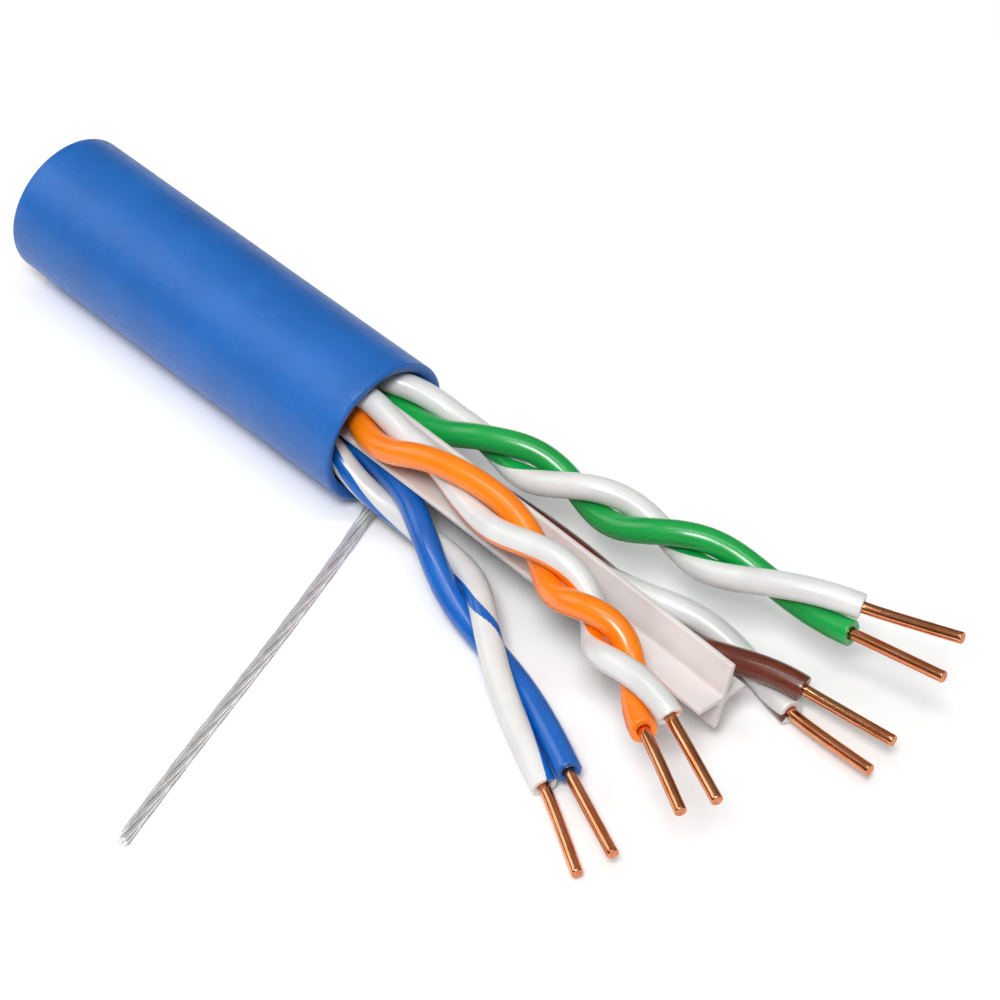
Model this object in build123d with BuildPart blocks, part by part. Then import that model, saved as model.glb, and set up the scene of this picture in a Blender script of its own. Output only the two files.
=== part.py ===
from build123d import *
import math
import os

# Stripped end of a shielded four-pair data cable, lying on a table.
# X runs along the cable towards the stripped end, from the square-cut back face at X = 0.
# +Z is up, and the table is one jacket radius below the axis.

# --- Driving dimensions, in millimetres ---
jacket_length = 24.0
jacket_wall = 0.60
jacket_outer_break = 0.06      # edge break round both cut ends
mouth_chamfer = 0.26           # inner chamfer of the stripped mouth
foil_thickness = 0.04
foil_fit = 0.02                # jacket bore to foil
foil_recess = 1.2              # foil stops this far inside the mouth
core_fit = 0.03                # foil to the pairs and to the drain wire

conductor_diameter = 0.573     # solid copper, 23 gauge
conductor_fit = 0.02           # conductor to the bore of its insulation, on the radius
wire_diameter = 1.27           # over the insulation
pair_gap = 0.03                # between the two wires of a pair
bare_length = 5.0              # copper standing out of the insulation
bare_bend = 0.8                # copper runs straight on this far before it leans

web_thickness = 0.30           # fins of the cross separator
web_fit = 0.02                 # fin to wire
fin_tip_radius = 0.10
fin_tip_limit = 0.4            # most of the fin's thickness that its tip radius may take
separator_lean = 12.0          # degrees: the upper fin leans to +Y
upper_fin, far_fin, lower_fin, near_fin = 2.05, 1.45, 1.80, 1.70
upper_root_fillet = 0.22
lower_root_fillet = 0.42

drain_strand_diameter = 0.20
drain_gap = 0.01               # between neighbouring strands
drain_lay = 12.0

wire_step = 1.05               # spacing of the path points of a wire
drain_step = 1.0
pair_station = 4.0             # longest spacing of a pair's route points inside the jacket
drain_station = 3.0
drain_release = 0.4            # the drain wire leaves its seat this far inside the mouth
pair_release = 6.5             # a pair lets go of the fins over this distance past the mouth
start_overrun = 1.5            # swept this far behind the back face, then cut square
bend_share = 0.45              # part of a run that an arc may use
curve_samples = 10             # samples between neighbouring points of a smooth curve
straight_within = 0.01         # degrees: a smaller turn counts as straight

# --- What fits to what ---
wire_radius = wire_diameter / 2
twist_radius = wire_radius + pair_gap / 2
insulation_bore = conductor_diameter + 2 * conductor_fit
drain_twist_radius = drain_strand_diameter + drain_gap
drain_radius = drain_twist_radius + drain_strand_diameter / 2

# A twisted pair moves out from a fin by its half width in that direction, smoothed near zero.
nest_smoothing = 0.35
nest_diagonal = math.hypot(math.sqrt(0.5), nest_smoothing)
wire_from_web = web_thickness / 2 + web_fit + wire_radius
pair_centre = wire_from_web + twist_radius * nest_diagonal
core_reach = math.sqrt(2) * pair_centre + twist_radius + wire_radius
foil_inner = core_reach + core_fit
foil_outer = foil_inner + foil_thickness
jacket_bore = foil_outer + foil_fit
jacket_radius = jacket_bore + jacket_wall
drain_seat = foil_inner - core_fit - drain_radius

# --- Routes: distance ahead of the mouth, Y, Z, and turns of the pair's coloured wire ---
# lay is the length of one turn inside the jacket, and hand is +1 for a right-handed twist.
# Each lean is the direction in which that wire's bare copper points.
pairs = [
    dict(name="blue", quadrant=(-1, -1), lay=11.0, hand=1, mouth_turn=0.04,
         route=[(6.1, -2.25, -1.70, 0.35), (13.1, -4.95, -2.50, 0.91), (19.4, -7.75, -2.88, 1.07)],
         lean=(1.0, -0.41, 0.0), white_lean=(1.0, -0.57, 0.0)),
    dict(name="orange", quadrant=(-1, 1), lay=12.0, hand=-1, mouth_turn=0.62,
         route=[(4.5, -1.05, 2.10, 0.36), (11.0, -1.55, 2.10, -0.05), (16.5, -2.70, 2.05, -0.66),
                (19.8, -3.95, 2.00, -1.18), (23.0, -5.25, 1.95, -1.45)],
         lean=(1.0, -0.54, 0.04), white_lean=(1.0, -0.45, 0.04)),
    dict(name="green", quadrant=(1, 1), lay=10.5, hand=-1, mouth_turn=0.63,
         route=[(5.1, 2.45, 1.10, 0.34), (9.9, 2.95, 1.20, -0.15), (15.1, 3.75, 1.30, -0.66),
                (20.5, 4.80, 1.40, -1.16), (24.9, 5.95, 1.45, -1.38)],
         lean=(1.0, 0.08, 0.14), white_lean=(1.0, 0.22, 0.21)),
    dict(name="brown", quadrant=(1, -1), lay=13.0, hand=-1, mouth_turn=-0.10,
         route=[(7.3, 2.35, -1.95, -0.13), (14.1, 2.10, -2.20, -0.12), (20.5, 3.30, -2.50, -0.62),
                (24.1, 3.20, -2.56, -0.85)],
         lean=(1.0, 0.07, 0.07), white_lean=(1.0, -0.02, 0.07)),
]
# The drain wire leaves under the blue pair, turns towards -Y and drops to the table.
# Its heights are measured from its axis when it lies on the table.
drain_route = [(0.25, -0.66, 0.72), (0.70, -1.10, 0.60), (1.00, -2.00, 0.42), (1.50, -3.60, 0.20),
               (2.50, -6.60, 0.02), (4.25, -12.0, 0.0), (6.0, -17.8, 0.0), (7.9, -23.6, 0.0)]
separator_route = [(4.0, 0.0, 0.0), (22.7, -0.40, -0.60)]


def core_point(y, z):
    """A place in the separator's own axes, as (Y, Z) of the cable."""
    lean = math.radians(separator_lean)
    return y * math.cos(lean) + z * math.sin(lean), z * math.cos(lean) - y * math.sin(lean)


def smooth(points):
    """Samples of the smooth curve that these points steer: its tangents are their runs, halfway along."""
    halfway = [[(p + q) / 2 for p, q in zip(a, b)] for a, b in zip(points[1:], points[2:-1])]
    ends = [list(points[0]), *halfway, list(points[-1])]
    samples = []
    for start, corner, stop in zip(ends, points[1:], ends[1:]):
        for n in range(curve_samples):
            u = n / curve_samples
            samples.append([p * (1 - u) ** 2 + 2 * q * u * (1 - u) + r * u * u
                            for p, q, r in zip(start, corner, stop)])
    return samples + [list(points[-1])]


def spaced(samples, step):
    """The same curve at equal distances of about one step."""
    reach = [0.0]
    for a, b in zip(samples, samples[1:]):
        reach.append(reach[-1] + math.dist(a[:3], b[:3]))
    count = round(reach[-1] / step)
    result, i = [], 0
    for n in range(count + 1):
        target = reach[-1] * n / count
        while i < len(reach) - 2 and reach[i + 1] < target:
            i += 1
        share = (target - reach[i]) / (reach[i + 1] - reach[i])
        result.append([a + (b - a) * share for a, b in zip(samples[i], samples[i + 1])])
    return result


def twisted(samples, radius, phase):
    """Path points that wind round a curve, whose fourth coordinate counts the turns."""
    centres = [Vector(*s[:3]) for s in samples]
    points = []
    for i, sample in enumerate(samples):
        before, after = max(i - 1, 0), min(i + 1, len(samples) - 1)
        ahead = (centres[after] - centres[before]).normalized()
        side = Vector(0, 0, 1).cross(ahead).normalized()
        up = ahead.cross(side)
        angle = 2 * math.pi * sample[3] + phase
        half_turn = math.pi * abs(samples[after][3] - samples[before][3]) / (after - before)
        arm = radius / math.cos(half_turn)
        points.append(centres[i] + (side * math.cos(angle) + up * math.sin(angle)) * arm)
    return points


def inside_stations(longest):
    """Equal stations from behind the back face to the mouth, no further apart than this."""
    count = math.ceil((jacket_length + start_overrun) / longest)
    spacing = (jacket_length + start_overrun) / count
    return [jacket_length - spacing * i for i in range(count, -1, -1)]


def pair_axis(pair):
    """Axis of a twisted pair from behind the back face to the end of its insulation."""
    sign_y, sign_z = pair["quadrant"]
    mouth_y, mouth_z = core_point(sign_y * pair_centre, sign_z * pair_centre)
    turn_per_length = pair["hand"] / pair["lay"]
    hidden = [(x, mouth_y, mouth_z, pair["mouth_turn"] - turn_per_length * (jacket_length - x))
              for x in inside_stations(pair_station)]
    outside = [(jacket_length + x, y, z, turn) for x, y, z, turn in pair["route"]]
    return spaced([nested(s, pair) for s in smooth(hidden + outside)], wire_step)


def nested(sample, pair):
    """Moves a pair's axis with its turn, as it lies against the fins, and lets go past the mouth."""
    x, y, z, turn = sample
    loose = min(max((x - jacket_length) / pair_release, 0), 1)
    hold = 1 - loose * loose * (3 - 2 * loose)
    angle = 2 * math.pi * turn + math.radians(separator_lean)
    shift = [hold * twist_radius * sign * (math.hypot(part, nest_smoothing) - nest_diagonal)
             for sign, part in zip(pair["quadrant"], (math.cos(angle), math.sin(angle)))]
    move_y, move_z = core_point(*shift)
    return [x, y + move_y, z + move_z, turn]


def corner_radii(points):
    """For each corner, the arc that its shorter run leaves room for."""
    radii = []
    for a, b, c in zip(points, points[1:], points[2:]):
        half_turn = math.radians((b - a).get_angle(c - b)) / 2
        radii.append(bend_share * min((b - a).length, (c - b).length) / math.tan(half_turn))
    return radii


def bends(points):
    """The points at which the path turns, with its two ends."""
    turning = [b for a, b, c in zip(points, points[1:], points[2:])
               if (b - a).get_angle(c - b) > straight_within]
    return [points[0], *turning, points[-1]]


def save(piece, name):
    piece.part.label = name
    export_step(piece.part, f"parts/{name}.step")


def make_wire(name, points, outer, bore=0.0):
    """A round wire or tube along runs joined by tangent arcs, cut square at the back face."""
    radii = corner_radii(points)
    with BuildPart() as piece:
        with BuildLine() as path:
            FilletPolyline(*points, radius=radii)
        with BuildSketch(Plane(origin=points[0], z_dir=points[1] - points[0])):
            Circle(outer / 2)
            if bore:
                Circle(bore / 2, mode=Mode.SUBTRACT)
        sweep()
        length = sum(edge.length for edge in path.edges())
        swept = piece.part.volume
        split(bisect_by=Plane.YZ, keep=Keep.TOP)
    save(piece, name)
    section = math.pi * (outer ** 2 - bore ** 2) / 4
    print(f"{name}: length {length:.1f}, radii {min(radii):.2f} to {max(radii):.1f}, "
          f"volume {swept / (section * length):.4f} of section times length")


def bare_copper(points, lean):
    """Carries a wire's path on past its insulation, straight at first and then along the lean."""
    ahead = (points[-1] - points[-2]).normalized()
    bend = points[-1] + ahead * bare_bend
    tip = bend + Vector(*lean).normalized() * (bare_length - bare_bend)
    return points[:-1] + [bend, tip]


def make_pair(pair):
    axis = pair_axis(pair)
    wires = [(pair["name"], 0.0, pair["lean"]), ("white_" + pair["name"], math.pi, pair["white_lean"])]
    for name, phase, lean in wires:
        points = twisted(axis, twist_radius, phase)
        make_wire(f"{name}_insulation", points, wire_diameter, insulation_bore)
        make_wire(f"{name}_conductor", bare_copper(points, lean), conductor_diameter)


def make_drain():
    """Seven tinned strands: six laid round one."""
    seat_y, seat_z = core_point(0, -drain_seat)
    table = drain_radius - jacket_radius
    hidden = [(x, seat_y, seat_z) for x in inside_stations(drain_station)[:-1]]
    inside = (jacket_length - drain_release, seat_y, seat_z)
    outside = [(jacket_length + x, y, table + height) for x, y, height in drain_route]
    samples = spaced(smooth(hidden + [inside] + outside), drain_step)
    axis = [[*s, i * drain_step / drain_lay] for i, s in enumerate(samples)]
    make_wire("drain_strand_1", bends([Vector(*s[:3]) for s in axis]), drain_strand_diameter)
    for i in range(6):
        points = twisted(axis, drain_twist_radius, i * math.pi / 3)
        make_wire(f"drain_strand_{i + 2}", points, drain_strand_diameter)


def make_jacket():
    with BuildPart() as jacket:
        with BuildSketch(Plane.YZ):
            Circle(jacket_radius)
            Circle(jacket_bore, mode=Mode.SUBTRACT)
        extrude(amount=jacket_length)
        rims = jacket.edges().filter_by(GeomType.CIRCLE)
        outer_rims = rims.filter_by(lambda edge: edge.radius > jacket_radius - jacket_wall / 2)
        fillet(outer_rims, radius=min(jacket_outer_break, jacket_wall / 4))
        inner_rims = jacket.edges().filter_by(GeomType.CIRCLE).filter_by(
            lambda edge: edge.radius < jacket_bore + jacket_wall / 4)
        chamfer(inner_rims.sort_by(Axis.X)[-1], length=min(mouth_chamfer, jacket_wall / 2))
    save(jacket, "jacket")


def make_foil():
    with BuildPart() as foil:
        with BuildSketch(Plane.YZ):
            Circle(foil_outer)
            Circle(foil_inner, mode=Mode.SUBTRACT)
        extrude(amount=jacket_length - foil_recess)
    save(foil, "foil_shield")


def make_separator():
    """A cross of four fins, with rounded tips and filleted roots, that droops past the mouth."""
    points = [Vector(0, 0, 0)] + [Vector(jacket_length + x, y, z) for x, y, z in separator_route]
    section_plane = Plane(origin=points[0], x_dir=(0, *core_point(1, 0)), z_dir=(1, 0, 0))
    with BuildPart() as separator:
        with BuildLine():
            FilletPolyline(*points, radius=corner_radii(points))
        with BuildSketch(section_plane) as section:
            with Locations(((far_fin - near_fin) / 2, 0)):
                Rectangle(far_fin + near_fin, web_thickness)
            with Locations((0, (upper_fin - lower_fin) / 2)):
                Rectangle(web_thickness, upper_fin + lower_fin)
            corners = section.vertices()
            fillet(corners.filter_by(lambda v: math.hypot(v.X, v.Y) > web_thickness),
                   radius=min(fin_tip_radius, fin_tip_limit * web_thickness))
            roots = section.vertices().filter_by(lambda v: math.hypot(v.X, v.Y) < web_thickness)
            fillet(roots.filter_by(lambda v: v.Y > 0), radius=upper_root_fillet)
            fillet(roots.filter_by(lambda v: v.Y < 0), radius=lower_root_fillet)
        sweep()
    save(separator, "cross_separator")


os.makedirs("parts", exist_ok=True)
make_jacket()
make_foil()
make_separator()
for pair in pairs:
    make_pair(pair)
make_drain()
print(f"jacket radius {jacket_radius:.3f}, bore {jacket_bore:.3f}")
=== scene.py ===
import math

import bpy
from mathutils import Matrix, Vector, noise


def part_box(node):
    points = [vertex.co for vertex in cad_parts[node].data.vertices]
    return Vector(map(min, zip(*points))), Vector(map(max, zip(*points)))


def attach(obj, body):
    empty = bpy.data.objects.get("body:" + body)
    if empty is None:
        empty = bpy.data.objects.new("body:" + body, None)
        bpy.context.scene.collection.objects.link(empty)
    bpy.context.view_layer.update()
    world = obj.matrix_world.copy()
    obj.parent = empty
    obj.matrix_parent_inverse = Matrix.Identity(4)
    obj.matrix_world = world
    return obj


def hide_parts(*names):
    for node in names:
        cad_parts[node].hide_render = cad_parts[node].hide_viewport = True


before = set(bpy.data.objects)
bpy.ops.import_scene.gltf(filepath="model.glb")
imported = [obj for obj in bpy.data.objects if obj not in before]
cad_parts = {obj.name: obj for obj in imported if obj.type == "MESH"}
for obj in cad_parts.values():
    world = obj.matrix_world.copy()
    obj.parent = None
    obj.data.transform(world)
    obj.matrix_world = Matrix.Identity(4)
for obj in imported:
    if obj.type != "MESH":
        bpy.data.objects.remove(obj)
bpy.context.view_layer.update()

# Stripped end of a shielded four-pair data cable on a pale table.
# Everything is in metres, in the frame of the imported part: X along the cable, Z up.

MM = 0.001
jacket_low, jacket_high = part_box("jacket")
mouth = jacket_high.x
table = jacket_low.z
jacket_radius = jacket_high.z
foil_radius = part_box("foil_shield")[1].z
foil_thickness = 0.04 * MM
foil_fit = 0.02 * MM          # jacket bore to foil
core_radius = foil_radius - foil_thickness
jacket_bore = foil_radius + foil_fit

# --- Sizes of the wires, as the part has them ---
conductor_radius = 0.573 / 2 * MM
conductor_fit = 0.02 * MM     # conductor to the bore of its insulation
bore_radius = conductor_radius + conductor_fit
wire_radius = 1.27 / 2 * MM
pair_gap = 0.03 * MM
twist_radius = wire_radius + pair_gap / 2
bare_length = 5.0 * MM
bare_bend = 0.8 * MM
strand_radius = 0.10 * MM
strand_ring = 0.21 * MM
drain_radius = strand_ring + strand_radius
drain_lay = 12.0 * MM
web_half = 0.15 * MM
web_fit = 0.02 * MM           # fin to wire
core_fit = 0.03 * MM          # foil to the drain wire
fin_tip_radius = 0.10 * MM
separator_lean = math.radians(12.0)
pair_station = 4 * MM         # longest spacing of a pair's route points inside the jacket
drain_station = 3 * MM
drain_release = 0.4 * MM      # the drain wire leaves its seat this far inside the mouth
pair_release = 6.5 * MM       # a pair lets go of the fins over this distance past the mouth
overrun = 1.5 * MM            # routes start this far behind the back face
nest_smoothing = 0.35
nest_diagonal = math.hypot(math.sqrt(0.5), nest_smoothing)
pair_centre = web_half + web_fit + wire_radius + twist_radius * nest_diagonal
drain_seat = core_radius - core_fit - drain_radius

# --- Routes of the part, in metres: distance ahead of the mouth, Y, Z and turns of the coloured wire ---
# lay is the length of one turn in the jacket, hand is +1 for a right-handed twist, and each lean is the
# direction of a wire's bare copper. stripe steers the coloured stripe round the white wire: distance ahead
# of the mouth, and turns from the side that faces away from its mate.
pairs = [
    dict(name="blue", quadrant=(-1, -1), lay=0.0110, hand=1, mouth_turn=0.04,
         route=[(0.0061, -0.00225, -0.0017, 0.35), (0.0131, -0.00495, -0.0025, 0.91),
                (0.0194, -0.00775, -0.00288, 1.07)],
         lean=(1.0, -0.41, 0.0), white_lean=(1.0, -0.57, 0.0),
         stripe=[(-0.0260, -0.08), (0.0015, -0.08), (0.0060, -0.25), (0.0090, -0.55), (0.0108, -0.85),
                 (0.0122, -1.30), (0.0140, -1.55), (0.0195, -1.40)]),
    dict(name="orange", quadrant=(-1, 1), lay=0.0120, hand=-1, mouth_turn=0.62,
         route=[(0.0045, -0.00105, 0.0021, 0.36), (0.0110, -0.00155, 0.0021, -0.05),
                (0.0165, -0.0027, 0.00205, -0.66), (0.0198, -0.00395, 0.0020, -1.18),
                (0.0230, -0.00525, 0.00195, -1.45)],
         lean=(1.0, -0.54, 0.04), white_lean=(1.0, -0.45, 0.04),
         stripe=[(-0.0260, -0.35), (0.0030, -0.35), (0.0067, -0.17), (0.0108, 0.14), (0.0145, 0.45),
                 (0.0180, 0.60), (0.0205, 0.80), (0.0235, 1.00)]),
    dict(name="green", quadrant=(1, 1), lay=0.0105, hand=-1, mouth_turn=0.63,
         route=[(0.0051, 0.00245, 0.0011, 0.34), (0.0099, 0.00295, 0.0012, -0.15),
                (0.0151, 0.00375, 0.0013, -0.66), (0.0205, 0.0048, 0.0014, -1.16),
                (0.0249, 0.00595, 0.00145, -1.38)],
         lean=(1.0, 0.08, 0.14), white_lean=(1.0, 0.22, 0.21),
         stripe=[(-0.0260, -0.35), (0.0120, -0.35), (0.0160, -0.46), (0.0190, -0.42), (0.0215, -0.20),
                 (0.0255, -0.05)]),
    dict(name="brown", quadrant=(1, -1), lay=0.0130, hand=-1, mouth_turn=-0.10,
         route=[(0.0073, 0.00235, -0.00195, -0.13), (0.0141, 0.0021, -0.0022, -0.12),
                (0.0205, 0.0033, -0.0025, -0.62), (0.0241, 0.0032, -0.00256, -0.85)],
         lean=(1.0, 0.07, 0.07), white_lean=(1.0, -0.02, 0.07),
         stripe=[(-0.0260, -0.30), (0.0150, -0.30), (0.0245, -0.12)]),
]
# Heights of the drain route are measured from its axis when it lies on the table.
drain_route = [(0.00025, -0.00066, 0.00072), (0.0007, -0.0011, 0.0006), (0.0010, -0.0020, 0.00042),
               (0.0015, -0.0036, 0.0002), (0.0025, -0.0066, 0.00002), (0.00425, -0.0120, 0.0),
               (0.0060, -0.0178, 0.0), (0.0079, -0.0236, 0.0)]
separator_route = [(0.0040, 0.0, 0.0), (0.0227, -0.0004, -0.0006)]

# --- How finely the shapes are cut ---
wire_sides = 28
conductor_sides = 20
strand_sides = 12
jacket_sides = 192
jacket_steps = 46
bore_steps = 12
places_per_run = 36
bare_places = 16
drain_places = 12
separator_places = 48
back_clearance = 0.3 * MM     # no ring is nearer than this to the one on the back face


# ---------------------------------------------------------------- curves

def core_point(y, z):
    """A place in the separator's own axes, as (Y, Z) of the cable."""
    return (y * math.cos(separator_lean) + z * math.sin(separator_lean),
            z * math.cos(separator_lean) - y * math.sin(separator_lean))


def read_route(points, per_run=places_per_run):
    """Places read along the NURBS spline that these points steer."""
    curve = bpy.data.curves.new("route", "CURVE")
    curve.dimensions = "3D"
    spline = curve.splines.new("NURBS")
    spline.points.add(len(points) - 1)
    for control, place in zip(spline.points, points):
        control.co = (*place, 1.0)
    spline.order_u = 3
    spline.use_endpoint_u = True
    spline.resolution_u = per_run
    curve.resolution_u = per_run
    carrier = bpy.data.objects.new("route", curve)
    mesh = bpy.data.meshes.new_from_object(carrier)
    places = [vertex.co.copy() for vertex in mesh.vertices]
    bpy.data.objects.remove(carrier)
    bpy.data.curves.remove(curve)
    bpy.data.meshes.remove(mesh)
    return places


def headings(places):
    """Unit direction of travel at each place."""
    result = []
    for i in range(len(places)):
        before, after = max(i - 1, 0), min(i + 1, len(places) - 1)
        result.append((places[after] - places[before]).normalized())
    return result


def lengths(places):
    """Distance travelled at each place."""
    result = [0.0]
    for a, b in zip(places, places[1:]):
        result.append(result[-1] + (b - a).length)
    return result


def inside_stations(longest):
    """Equal stations from behind the back face to the mouth, no further apart than this."""
    count = math.ceil((mouth + overrun) / longest)
    spacing = (mouth + overrun) / count
    return [mouth - spacing * i for i in range(count, -1, -1)]


def from_back_face(places, partners=None):
    """The stretch ahead of the back face, starting on it, with its partners cut alike."""
    partners = partners or places
    first = next(i for i, place in enumerate(places) if place.x > 0)
    share = -places[first - 1].x / (places[first].x - places[first - 1].x)
    clear = next(i for i, place in enumerate(places) if place.x > back_clearance)
    cut = []
    for line in (places, partners):
        cut.append([line[first - 1].lerp(line[first], share)] + line[clear:])
    return cut


def nested(place, turn, quadrant):
    """Moves a pair's axis with its turn, as it lies against the fins, and lets go past the mouth."""
    loose = min(max((place.x - mouth) / pair_release, 0), 1)
    hold = 1 - loose * loose * (3 - 2 * loose)
    angle = 2 * math.pi * turn + separator_lean
    shift = [hold * twist_radius * sign * (math.hypot(part, nest_smoothing) - nest_diagonal)
             for sign, part in zip(quadrant, (math.cos(angle), math.sin(angle)))]
    return place + Vector((0, *core_point(*shift)))


def wound(axis, turns, radius, phase):
    """A line that winds round an axis."""
    line = []
    for centre, ahead, turn in zip(axis, headings(axis), turns):
        side = Vector((0, 0, 1)).cross(ahead).normalized()
        up = ahead.cross(side)
        angle = 2 * math.pi * turn + phase
        line.append(centre + (side * math.cos(angle) + up * math.sin(angle)) * radius)
    return line


# ---------------------------------------------------------------- meshes

def make_piece(name, vertices, faces, drawn, materials, smooth_from=35.0):
    """A mesh object. drawn is each vertex's place round and along its wire, for the materials."""
    mesh = bpy.data.meshes.new(name)
    mesh.from_pydata(vertices, [], faces)
    layer = mesh.attributes.new("drawn", "FLOAT_VECTOR", "POINT")
    for value, place in zip(layer.data, drawn):
        value.vector = place
    for material in materials:
        mesh.materials.append(material)
    mesh.shade_smooth()
    mesh.set_sharp_from_angle(angle=math.radians(smooth_from))
    mesh.validate()
    piece = bpy.data.objects.new(name, mesh)
    bpy.context.scene.collection.objects.link(piece)
    return piece


def ring(centre, ahead, outward, radius, sides, square=False):
    """One ring of a tube. A square ring is slid along the tube onto the back face."""
    outward = (outward - ahead * outward.dot(ahead)).normalized()
    across = ahead.cross(outward)
    places = []
    for i in range(sides):
        angle = 2 * math.pi * i / sides
        place = centre + (outward * math.cos(angle) + across * math.sin(angle)) * radius
        if square:
            place -= ahead * (place.x / ahead.x)
        places.append(place)
    return places


def ring_faces(first, second, sides):
    """Faces between two rings that start at these vertex numbers."""
    return [(first + i, first + (i + 1) % sides, second + (i + 1) % sides, second + i)
            for i in range(sides)]


def place_round(sides, along, turn=0.0):
    """Where the vertices of a ring are round and along their wire, counted from a stripe."""
    return [(math.cos(2 * math.pi * (i / sides - turn)), math.sin(2 * math.pi * (i / sides - turn)), along)
            for i in range(sides)]


def uneven(place, size, depth):
    """A small wander for things that are not perfectly even."""
    return depth * noise.noise(place / size)


def make_insulation(name, path, outwards, stripe_turns, material):
    """A tube of insulation, cut square behind and stripped with a slightly rounded lip in front."""
    ahead = headings(path)
    along = lengths(path)
    stations = [(i, 0.0, wire_radius + uneven(path[i], 4 * MM, 0.012 * MM)) for i in range(len(path) - 1)]
    last = len(path) - 1
    lip = [(-0.075, -0.002), (-0.035, -0.012), (-0.010, -0.035), (0.0, -0.070)]
    stations += [(last, back * MM, wire_radius + inset * MM) for back, inset in lip]
    dish = [(-0.012, 0.10), (-0.040, 0.02), (-0.10, 0.0)]
    stations += [(last, back * MM, bore_radius + out * MM) for back, out in dish]
    stations += [(i, 0.0, bore_radius) for i in range(last - 2, -1, -4)]
    if stations[-1][0] != 0:
        stations.append((0, 0.0, bore_radius))
    vertices, drawn = [], []
    for i, offset, radius in stations:
        centre = path[i] + ahead[i] * offset
        vertices += ring(centre, ahead[i], outwards[i], radius, wire_sides, square=(i == 0))
        drawn += place_round(wire_sides, along[i] + offset, stripe_turns[i])
    count = len(stations)
    faces = []
    for k in range(count):
        faces += ring_faces(k * wire_sides, (k + 1) % count * wire_sides, wire_sides)
    return make_piece(name, vertices, faces, drawn, [material])


def make_rod(name, path, outwards, radius, sides, materials, nip=0.03 * MM):
    """A solid wire whose front end is nipped off with a small burr-free edge."""
    ahead = headings(path)
    along = lengths(path)
    last = len(path) - 1
    stations = [(i, 0.0, radius) for i in range(last)]
    stations += [(last, -1.6 * nip, radius), (last, -0.6 * nip, radius - 0.3 * nip),
                 (last, 0.0, radius - nip)]
    vertices, drawn = [], []
    for i, offset, size in stations:
        vertices += ring(path[i] + ahead[i] * offset, ahead[i], outwards[i], size, sides, square=(i == 0))
        drawn += place_round(sides, along[i] + offset)
    faces = []
    for k in range(len(stations) - 1):
        faces += ring_faces(k * sides, (k + 1) * sides, sides)
    edge = (len(stations) - 1) * sides
    inner = len(vertices)
    vertices += ring(path[last] + ahead[last] * nip * 0.3, ahead[last], outwards[last], radius * 0.5, sides)
    drawn += place_round(sides, along[last])
    faces += ring_faces(edge, inner, sides)
    front, back = len(vertices), len(vertices) + 1
    vertices += [path[last] + ahead[last] * nip * 0.2, path[0]]
    drawn += [(0, 0, along[last]), (0, 0, 0)]
    faces += [(inner + i, inner + (i + 1) % sides, front) for i in range(sides)]
    faces += [((i + 1) % sides, i, back) for i in range(sides)]
    piece = make_piece(name, vertices, faces, drawn, materials)
    if len(materials) > 1:
        for face in piece.data.polygons[-3 * sides:]:
            face.material_index = 1
    return piece


def join(name, pieces):
    """Several meshes as one piece."""
    bpy.ops.object.select_all(action="DESELECT")
    for piece in pieces:
        piece.select_set(True)
    bpy.context.view_layer.objects.active = pieces[0]
    bpy.ops.object.join()
    joined = bpy.context.view_layer.objects.active
    joined.name = name
    joined.select_set(False)
    return joined


# ---------------------------------------------------------------- materials

def colour(code):
    """Linear colour, with alpha, of a web colour code."""
    parts = [int(code[i:i + 2], 16) / 255 for i in (1, 3, 5)]
    return [p / 12.92 if p <= 0.04045 else ((p + 0.055) / 1.055) ** 2.4 for p in parts] + [1.0]


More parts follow.
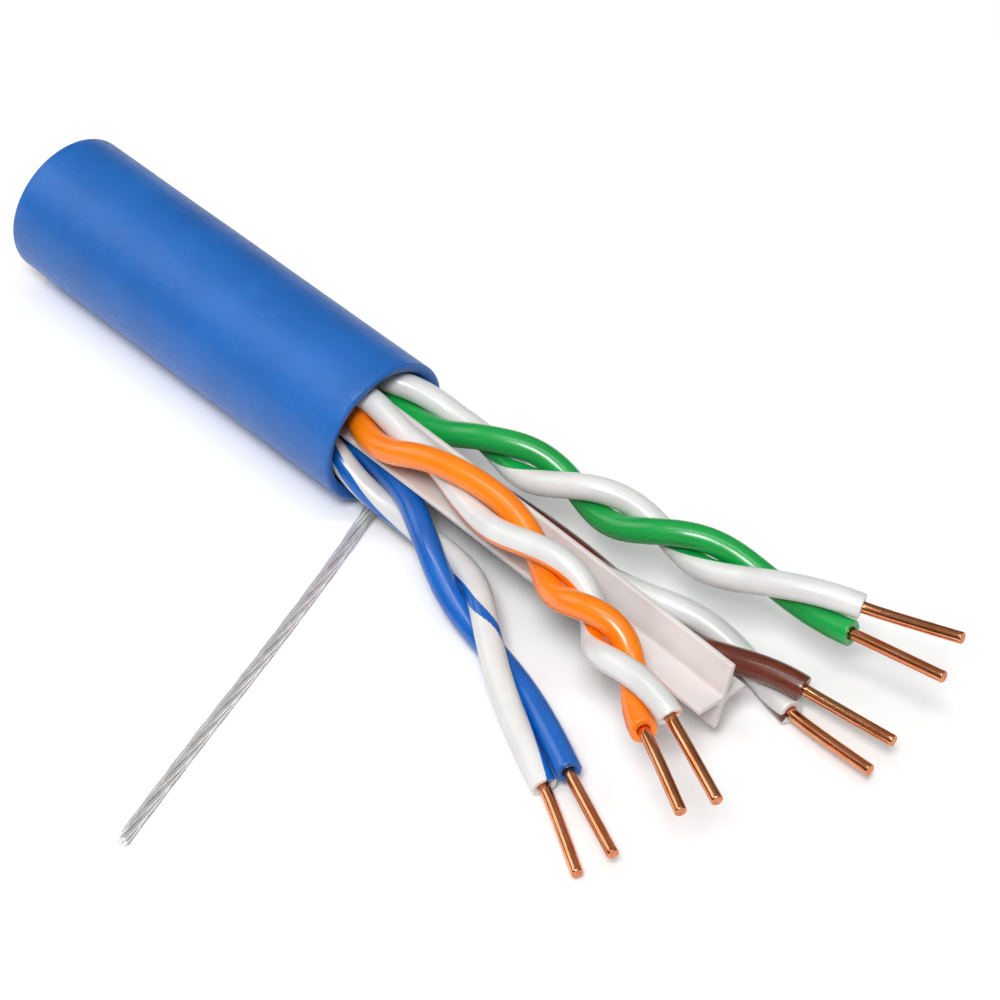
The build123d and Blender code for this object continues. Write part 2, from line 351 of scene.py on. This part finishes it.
class Finish:
    """A material in the making: one principled shader and the textures that feed it."""

    def __init__(self, name, **sockets):
        self.material = bpy.data.materials.new(name)
        self.material.use_nodes = True
        self.tree = self.material.node_tree
        self.shader = self.tree.nodes["Principled BSDF"]
        self.height = None
        for socket, value in sockets.items():
            self.shader.inputs[socket.replace("_", " ").title().replace("Ior", "IOR")].default_value = value

    def node(self, kind, **settings):
        made = self.tree.nodes.new(kind)
        for name, value in settings.items():
            setattr(made, name, value)
        return made

    def place(self, scale=(1, 1, 1), drawn=False):
        """Object coordinates, or those round and along a wire, stretched."""
        if drawn:
            source = self.node("ShaderNodeAttribute", attribute_name="drawn").outputs["Vector"]
        else:
            source = self.node("ShaderNodeTexCoord").outputs["Object"]
        mapping = self.node("ShaderNodeMapping")
        mapping.inputs["Scale"].default_value = scale
        self.tree.links.new(source, mapping.inputs["Vector"])
        return mapping.outputs["Vector"]

    def noise(self, vector, scale, detail=3.0, roughness=0.55, distortion=0.0):
        made = self.node("ShaderNodeTexNoise")
        made.inputs["Scale"].default_value = scale
        made.inputs["Detail"].default_value = detail
        made.inputs["Roughness"].default_value = roughness
        made.inputs["Distortion"].default_value = distortion
        self.tree.links.new(vector, made.inputs["Vector"])
        return made.outputs["Fac"]

    def cells(self, vector, scale):
        made = self.node("ShaderNodeTexVoronoi", feature="SMOOTH_F1")
        made.inputs["Scale"].default_value = scale
        self.tree.links.new(vector, made.inputs["Vector"])
        return made.outputs["Distance"]

    def spread(self, value, low, high, to_low=0.0, to_high=1.0):
        made = self.node("ShaderNodeMapRange")
        for i, number in enumerate((low, high, to_low, to_high)):
            made.inputs[i + 1].default_value = number
        self.tree.links.new(value, made.inputs[0])
        return made.outputs[0]

    def mix(self, share, first, second):
        made = self.node("ShaderNodeMix", data_type="RGBA")
        self.tree.links.new(share, made.inputs[0])
        for socket, value in ((made.inputs[6], first), (made.inputs[7], second)):
            if isinstance(value, bpy.types.NodeSocket):
                self.tree.links.new(value, socket)
            else:
                socket.default_value = value
        return made.outputs[2]

    def feed(self, socket, value):
        self.tree.links.new(value, self.shader.inputs[socket])

    def bump(self, height, distance, strength=1.0):
        """Adds a layer of relief over the ones before it."""
        made = self.node("ShaderNodeBump")
        made.inputs["Strength"].default_value = strength
        made.inputs["Distance"].default_value = distance
        self.tree.links.new(height, made.inputs["Height"])
        if self.height is not None:
            self.tree.links.new(self.height, made.inputs["Normal"])
        self.height = made.outputs["Normal"]
        self.feed("Normal", self.height)


def wire_finish(name, base, deep, stripe=None, stripe_deep=None):
    """Smooth polyethylene: soft die lines along the wire, a little cloudiness and a gloss that varies."""
    finish = Finish(name, roughness=0.3, ior=1.5, subsurface_weight=0.12, subsurface_scale=0.25 * MM,
                    coat_weight=0.25, coat_roughness=0.12)
    lines = finish.noise(finish.place((1.0, 1.0, 60.0), drawn=True), 3.0, detail=4.0)
    cloud = finish.noise(finish.place(), 420.0, detail=2.0)
    shade = finish.mix(finish.spread(cloud, 0.35, 0.65), colour(base), colour(deep))
    if stripe:
        place = finish.node("ShaderNodeSeparateXYZ")
        attribute = finish.node("ShaderNodeAttribute", attribute_name="drawn")
        finish.tree.links.new(attribute.outputs["Vector"], place.inputs[0])
        inside = finish.spread(place.outputs["X"], stripe_edge - stripe_blur, stripe_edge + stripe_blur)
        ink = finish.mix(finish.spread(cloud, 0.35, 0.65), colour(stripe), colour(stripe_deep))
        shade = finish.mix(inside, shade, ink)
    finish.feed("Base Color", shade)
    finish.feed("Roughness", finish.spread(lines, 0.3, 0.7, 0.24, 0.36))
    finish.bump(lines, 0.004 * MM, 0.5)
    finish.bump(finish.noise(finish.place(), 5200.0, detail=3.0), 0.003 * MM, 0.35)
    return finish.material


def copper_finish(name, cut=False):
    """Drawn copper, with fine lines along it, or the duller face where it was cut off."""
    finish = Finish(name, metallic=1.0, roughness=0.2)
    if cut:
        grain = finish.noise(finish.place((1.0, 1.0, 0.3)), 14000.0, detail=4.0)
        shade = finish.mix(finish.spread(grain, 0.3, 0.7), colour("#e9a27c"), colour("#c9794f"))
        finish.feed("Base Color", shade)
        finish.feed("Roughness", finish.spread(grain, 0.3, 0.7, 0.42, 0.62))
        finish.bump(grain, 0.012 * MM, 0.6)
        return finish.material
    lines = finish.noise(finish.place((1.0, 1.0, 90.0), drawn=True), 5.0, detail=5.0, roughness=0.65)
    tarnish = finish.noise(finish.place(), 700.0, detail=3.0)
    bright = finish.mix(finish.spread(tarnish, 0.35, 0.7), colour("#f5b389"), colour("#dd8a5a"))
    finish.feed("Base Color", finish.mix(finish.spread(lines, 0.35, 0.75), bright, colour("#c9703f")))
    finish.feed("Roughness", finish.spread(lines, 0.3, 0.7, 0.12, 0.22))
    finish.bump(lines, 0.006 * MM, 0.5)
    return finish.material


def tinned_finish():
    """Bright tin over copper, a little cloudy, with rubbed marks along each strand."""
    finish = Finish("tinned_strand", metallic=0.75, roughness=0.3)
    rubs = finish.noise(finish.place((1.0, 1.0, 40.0), drawn=True), 4.0, detail=4.0)
    cloud = finish.noise(finish.place(), 1500.0, detail=3.0)
    shade = finish.mix(finish.spread(cloud, 0.3, 0.7), colour("#fbfbfa"), colour("#e4e4e5"))
    finish.feed("Base Color", shade)
    finish.feed("Roughness", finish.spread(rubs, 0.3, 0.7, 0.16, 0.34))
    finish.bump(rubs, 0.004 * MM, 0.5)
    return finish.material


def jacket_finish():
    """Satin PVC with a fine leathery grain and faint scuffs from being pulled through."""
    finish = Finish("jacket_pvc", roughness=0.42, ior=1.5, subsurface_weight=0.05, subsurface_scale=0.3 * MM)
    place = finish.place()
    cloud = finish.noise(place, 260.0, detail=3.0)
    grain = finish.noise(finish.place((0.8, 1.0, 1.0)), 2600.0, detail=3.0, distortion=1.2)
    scuffs = finish.noise(finish.place((0.06, 1.0, 1.0)), 2400.0, detail=4.0, roughness=0.7)
    shade = finish.mix(finish.spread(cloud, 0.3, 0.7), colour("#1a66b8"), colour("#155ca9"))
    shade = finish.mix(finish.spread(scuffs, 0.66, 0.82, 0.0, 0.35), shade, colour("#3a82cc"))
    finish.feed("Base Color", shade)
    finish.feed("Roughness", finish.spread(grain, 0.3, 0.7, 0.36, 0.5))
    finish.bump(grain, 0.05 * MM, 0.5)
    finish.bump(finish.cells(place, 3200.0), 0.02 * MM, 0.35)
    return finish.material


def separator_finish():
    """Natural polyethylene, satin, with flow lines along the fins."""
    finish = Finish("separator_polyethylene", roughness=0.4, ior=1.5, subsurface_weight=0.2,
                    subsurface_scale=0.4 * MM)
    flow = finish.noise(finish.place((0.03, 1.0, 1.0)), 2600.0, detail=4.0)
    cloud = finish.noise(finish.place(), 320.0, detail=2.0)
    shade = finish.mix(finish.spread(cloud, 0.3, 0.7), colour("#dcd7d5"), colour("#cfc9c7"))
    finish.feed("Base Color", shade)
    finish.feed("Roughness", finish.spread(flow, 0.3, 0.7, 0.34, 0.5))
    finish.bump(flow, 0.006 * MM, 0.5)
    finish.bump(finish.noise(finish.place(), 4200.0, detail=2.0), 0.004 * MM, 0.4)
    return finish.material


def foil_finish():
    """Thin crinkled foil."""
    finish = Finish("foil_metal", metallic=1.0, roughness=0.25)
    crinkle = finish.noise(finish.place((0.5, 1.0, 1.0)), 1600.0, detail=4.0, distortion=0.8)
    shade = finish.mix(finish.spread(crinkle, 0.3, 0.7), colour("#d9dadc"), colour("#b4b7bb"))
    finish.feed("Base Color", shade)
    finish.feed("Roughness", finish.spread(crinkle, 0.3, 0.7, 0.18, 0.38))
    finish.bump(crinkle, 0.02 * MM, 0.8)
    return finish.material


def table_finish():
    """Matt pale board."""
    finish = Finish("table_board", roughness=0.85)
    fibre = finish.noise(finish.place(), 60.0, detail=5.0)
    shade = finish.mix(finish.spread(fibre, 0.3, 0.7), colour("#fbfbfb"), colour("#f7f7f7"))
    finish.feed("Base Color", shade)
    finish.feed("Roughness", finish.spread(fibre, 0.3, 0.7, 0.8, 0.9))
    return finish.material


# ---------------------------------------------------------------- pieces

stripe_edge = math.cos(math.radians(26.0))    # half the width of a stripe, round the wire
stripe_blur = 0.012
skins = {
    "blue": ("#0a63bd", "#0558ae"),
    "orange": ("#fb8405", "#f57a02"),
    "green": ("#0f9f45", "#0b9440"),
    "brown": ("#6a2d1c", "#5c2517"),
}
copper = [copper_finish("copper_drawn"), copper_finish("copper_cut", cut=True)]


def stripe_turns(path, stripe):
    """The stripe's place round a white wire at each point of its path."""
    line = read_route([(mouth + x, turn, 0.0) for x, turn in stripe])
    turns = []
    for place in path:
        i = next((i for i, point in enumerate(line) if point.x > place.x), len(line) - 1)
        share = (place.x - line[i - 1].x) / (line[i].x - line[i - 1].x)
        turns.append(line[i - 1].y + (line[i].y - line[i - 1].y) * min(share, 1.0))
    return turns


def bare_path(path, lean):
    """The conductor's line: on past the insulation, straight at first and then along its lean."""
    ahead = (path[-1] - path[-2]).normalized()
    bend = path[-1] + ahead * bare_bend
    tip = bend + Vector(lean).normalized() * (bare_length - bare_bend)
    return path[:-1] + read_route([path[-1], bend, tip], bare_places)


def make_pair(pair):
    """Two insulated wires twisted together, as four pieces that stand for the part's four nodes."""
    mouth_y, mouth_z = core_point(*(sign * pair_centre for sign in pair["quadrant"]))
    turn_per_length = pair["hand"] / pair["lay"]
    controls = [(x, mouth_y, mouth_z, pair["mouth_turn"] - turn_per_length * (mouth - x))
                for x in inside_stations(pair_station)]
    controls += [(mouth + x, y, z, turn) for x, y, z, turn in pair["route"]]
    turns = [place.x for place in read_route([(turn, 0, 0) for x, y, z, turn in controls])]
    line = read_route([(x, y, z) for x, y, z, turn in controls])
    axis = [nested(place, turn, pair["quadrant"]) for place, turn in zip(line, turns)]
    deep = skins[pair["name"]]
    wires = [(pair["name"], 0.0, pair["lean"], wire_finish(pair["name"] + "_insulation_skin", *deep)),
             ("white_" + pair["name"], math.pi, pair["white_lean"],
              wire_finish("white_" + pair["name"] + "_skin", "#dededd", "#d2d2d1", *deep))]
    for name, phase, lean, skin in wires:
        path, middle = from_back_face(wound(axis, turns, twist_radius, phase), axis)
        outwards = [place - centre for place, centre in zip(path, middle)]
        whole = bare_path(path, lean)
        carried = outwards[:-1] + [outwards[-1]] * (len(whole) - len(path) + 1)
        tube = make_insulation(name + "_tube", path, outwards, stripe_turns(path, pair["stripe"]), skin)
        rod = make_rod(name + "_rod", whole, carried, conductor_radius, conductor_sides, copper)
        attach(tube, "root")
        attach(rod, "root")
        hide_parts(name + "_insulation")
        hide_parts(name + "_conductor")


def make_drain():
    """Seven tinned strands, six laid round one, that drop from the mouth to the table."""
    seat_y, seat_z = core_point(0, -drain_seat)
    controls = [(x, seat_y, seat_z) for x in inside_stations(drain_station)[:-1]]
    controls += [(mouth - drain_release, seat_y, seat_z)]
    controls += [(mouth + x, y, table + drain_radius + height) for x, y, height in drain_route]
    axis = read_route(controls, drain_places)
    turns = [length / drain_lay for length in lengths(axis)]
    tin = tinned_finish()
    strands = []
    for i in range(7):
        line = axis if i == 6 else wound(axis, turns, strand_ring, i * math.pi / 3)
        path, middle = from_back_face(line, axis)
        outwards = [Vector((0, 0, 1)) if i == 6 else place - centre
                    for place, centre in zip(path, middle)]
        strands.append(make_rod(f"strand_{i}", path, outwards, strand_radius, strand_sides, [tin],
                                nip=0.015 * MM))
    drain = join("drain_strands", strands)
    line = from_back_face(axis)[0]
    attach(drain, "root")
    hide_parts(*(f"drain_strand_{i + 1}" for i in range(7)))


def arc(centre, radius, start, stop, steps):
    """Points on an arc, in degrees."""
    return [(centre[0] + radius * math.cos(math.radians(start + (stop - start) * i / steps)),
             centre[1] + radius * math.sin(math.radians(start + (stop - start) * i / steps)))
            for i in range(steps + 1)]


def cross_outline():
    """The separator's section in its own axes, anticlockwise from its far fin."""
    fins = [(1.45, 0.22), (2.05, 0.22), (1.70, 0.42), (1.80, 0.42)]    # reach, and the root that follows
    outline = []
    for i, (reach, root) in enumerate(fins):
        reach, root = reach * MM, root * MM
        fin = arc((reach - fin_tip_radius, fin_tip_radius - web_half), fin_tip_radius, -90, 0, 4)
        fin += arc((reach - fin_tip_radius, web_half - fin_tip_radius), fin_tip_radius, 0, 90, 4)
        fin += arc((web_half + root, web_half + root), root, 270, 180, 8)
        turn = i * math.pi / 2
        outline += [(a * math.cos(turn) - b * math.sin(turn), a * math.sin(turn) + b * math.cos(turn))
                    for a, b in fin]
    return outline


def make_separator():
    """The cross separator, drooping a little past the mouth, with a softened edge where it was snipped."""
    route = [(0.0, 0.0, 0.0)] + [(mouth + x, y, z) for x, y, z in separator_route]
    line = read_route(route, separator_places)
    outline = cross_outline()
    count = len(outline)
    ways = []
    for i in range(count):
        (a, b), (c, d) = outline[i - 1], outline[(i + 1) % count]
        ways.append(Vector((b - d, c - a)).normalized())
    last = len(line) - 1
    snip = [(last, -0.045 * MM, 0.0), (last, -0.012 * MM, 0.012 * MM), (last, 0.0, 0.045 * MM)]
    stations = [(i, 0.0, 0.0) for i in range(last)] + snip
    ahead = headings(line)
    along = lengths(line)
    vertices, drawn = [], []
    for i, offset, inset in stations:
        side = Vector((0, 0, 1)).cross(ahead[i]).normalized()
        up = ahead[i].cross(side)
        for (a, b), way in zip(outline, ways):
            y, z = core_point(a + way.x * inset, b + way.y * inset)
            centre = line[i] + ahead[i] * offset
            vertices.append(centre + side * y + up * z)
            drawn.append((a / MM, b / MM, along[i]))
    faces = []
    for k in range(len(stations) - 1):
        faces += ring_faces(k * count, (k + 1) * count, count)
    edge = (len(stations) - 1) * count
    faces += [tuple(range(count - 1, -1, -1)), tuple(edge + i for i in range(count))]
    piece = make_piece("separator_web", vertices, faces, drawn, [separator_finish()], smooth_from=50.0)
    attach(piece, "root")
    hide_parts("cross_separator")


def make_jacket():
    """The jacket: a hair uneven, with a rounded outer lip and a bevelled inner one at the cut mouth."""
    edge, bevel, back_break = 0.11 * MM, 0.26 * MM, 0.06 * MM
    profile = [(0.0, jacket_radius - back_break), (back_break / 3, jacket_radius - back_break / 3)]
    for i in range(jacket_steps + 1):
        profile.append((back_break + (mouth - edge - back_break) * i / jacket_steps, jacket_radius))
    profile += [(mouth - 0.85 * edge, jacket_radius - 0.05 * edge),
                (mouth - 0.1 * edge, jacket_radius - 0.8 * edge), (mouth, jacket_radius - edge)]
    profile += [(mouth - 0.02 * MM, jacket_bore + bevel), (mouth - bevel * 0.55, jacket_bore + bevel * 0.42),
                (mouth - bevel, jacket_bore + 0.02 * MM), (mouth - bevel - 0.08 * MM, jacket_bore)]
    profile += [(mouth * (1 - i / bore_steps) * 0.96, jacket_bore) for i in range(bore_steps + 1)]
    vertices, drawn = [], []
    for x, radius in profile:
        for k in range(jacket_sides):
            angle = 2 * math.pi * k / jacket_sides
            place = Vector((x, radius * math.sin(angle), radius * math.cos(angle)))
            wander = uneven(place, 5 * MM, 0.012 * MM) - 0.006 * MM if radius > jacket_bore + bevel else 0.0
            ragged = uneven(place, 0.9 * MM, 0.016 * MM) if x > mouth - edge else 0.0
            vertices.append(Vector((min(x + ragged - 0.008 * MM * (x > mouth - edge), mouth),
                                    place.y * (1 + wander / radius), place.z * (1 + wander / radius))))
            drawn.append((math.cos(angle), math.sin(angle), x))
    faces = []
    for k in range(len(profile)):
        faces += ring_faces(k * jacket_sides, (k + 1) % len(profile) * jacket_sides, jacket_sides)
    faces = [tuple(reversed(face)) for face in faces]
    piece = make_piece("jacket_skin", vertices, faces, drawn, [jacket_finish()], smooth_from=40.0)
    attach(piece, "root")
    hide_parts("jacket")


def dress_foil():
    """The foil stays the part's own, with a better material."""
    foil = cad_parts["foil_shield"]
    foil.data.materials.clear()
    foil.data.materials.append(foil_finish())


# ---------------------------------------------------------------- studio

def make_table():
    size = 3.0
    mesh = bpy.data.meshes.new("table_top")
    corners = [(-size, -size, table), (size, -size, table), (size, size, table), (-size, size, table)]
    mesh.from_pydata(corners, [], [(0, 1, 2, 3)])
    mesh.materials.append(table_finish())
    top = bpy.data.objects.new("table_top", mesh)
    bpy.context.scene.collection.objects.link(top)


def make_light(name, place, aim, size, power, shade="#ffffff"):
    light = bpy.data.lights.new(name, "AREA")
    light.shape = "RECTANGLE"
    light.size, light.size_y = size
    light.energy = power
    light.color = colour(shade)[:3]
    lamp = bpy.data.objects.new(name, light)
    lamp.location = place
    lamp.rotation_euler = (Vector(aim) - Vector(place)).to_track_quat("-Z", "Y").to_euler()
    bpy.context.scene.collection.objects.link(lamp)


def make_world(strength):
    """Bright overhead and dark towards the horizon, for the metal to mirror."""
    world = bpy.data.worlds.new("studio")
    world.use_nodes = True
    tree = world.node_tree
    direction = tree.nodes.new("ShaderNodeTexCoord")
    parts = tree.nodes.new("ShaderNodeSeparateXYZ")
    ramp = tree.nodes.new("ShaderNodeMapRange")
    ramp.inputs["From Min"].default_value = 0.15
    ramp.inputs["From Max"].default_value = 0.75
    ramp.inputs["To Min"].default_value = 0.08
    ramp.inputs["To Max"].default_value = 1.0
    tree.links.new(direction.outputs["Generated"], parts.inputs[0])
    tree.links.new(parts.outputs["Z"], ramp.inputs["Value"])
    tree.links.new(ramp.outputs["Result"], tree.nodes["Background"].inputs["Color"])
    tree.nodes["Background"].inputs["Strength"].default_value = strength
    bpy.context.scene.world = world


def make_camera():
    """A view set by its bearing, height, distance and field of view."""
    azimuth, elevation = math.radians(45.29), math.radians(45.88)
    distance = 151.5 * MM
    right_of_axis, above_axis = -5.59 * MM, 3.25 * MM    # where the mouth's centre is from the view's axis
    right = Vector((math.cos(azimuth), math.sin(azimuth), 0))
    back = Vector((math.sin(azimuth) * math.cos(elevation), -math.cos(azimuth) * math.cos(elevation),
                   math.sin(elevation)))
    up = back.cross(right)
    camera = bpy.data.cameras.new("camera")
    camera.sensor_width = 36.0
    camera.lens = 112.34
    camera.clip_start = 0.01
    holder = bpy.data.objects.new("camera", camera)
    holder.location = Vector((mouth, 0, 0)) - right * right_of_axis - up * above_axis + back * distance
    holder.rotation_euler = back.to_track_quat("Z", "Y").to_euler()
    bpy.context.scene.collection.objects.link(holder)
    bpy.context.scene.camera = holder


make_jacket()
dress_foil()
make_separator()
for pair in pairs:
    make_pair(pair)
make_drain()

make_table()
make_light("key_soft", (0.20, -0.24, 0.48), (0.03, 0, 0), (0.16, 0.16), 2.3)
make_light("top_strip", (0.05, -0.02, 0.50), (0.03, 0, 0), (0.50, 0.03), 0.7)
make_light("side_fill", (-0.35, -0.15, 0.28), (0.03, 0, 0), (0.30, 0.30), 0.5)
make_world(0.30)
bpy.context.scene.view_settings.view_transform = "Standard"
make_camera()
